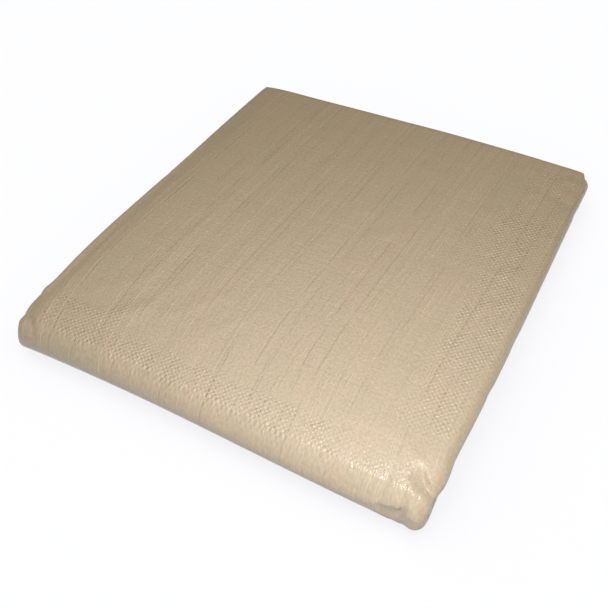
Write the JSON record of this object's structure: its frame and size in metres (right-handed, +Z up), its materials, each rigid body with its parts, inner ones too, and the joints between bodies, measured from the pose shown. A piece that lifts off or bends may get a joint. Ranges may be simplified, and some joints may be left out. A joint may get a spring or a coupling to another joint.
{
  "type": "folded poly tarp",
  "caption": "Woven, coated polyethylene tarp folded to a plump flat packet, with one round half-fold edge and soft creased corners.",
  "frame": {"origin": "bottom centre of the packet's box, on the face it rests on", "axes": "+X along the front fold to the right, +Y from the front fold to the open back end, +Z up"},
  "size_m": [0.4506, 0.4838, 0.0426],
  "materials": {
    "tan_poly": "woven polyethylene tapes under a thin satin coating, tan"
  },
  "bodies": {
    "root": {"folded_sheet": "tan_poly"}
  },
  "joints": []
}
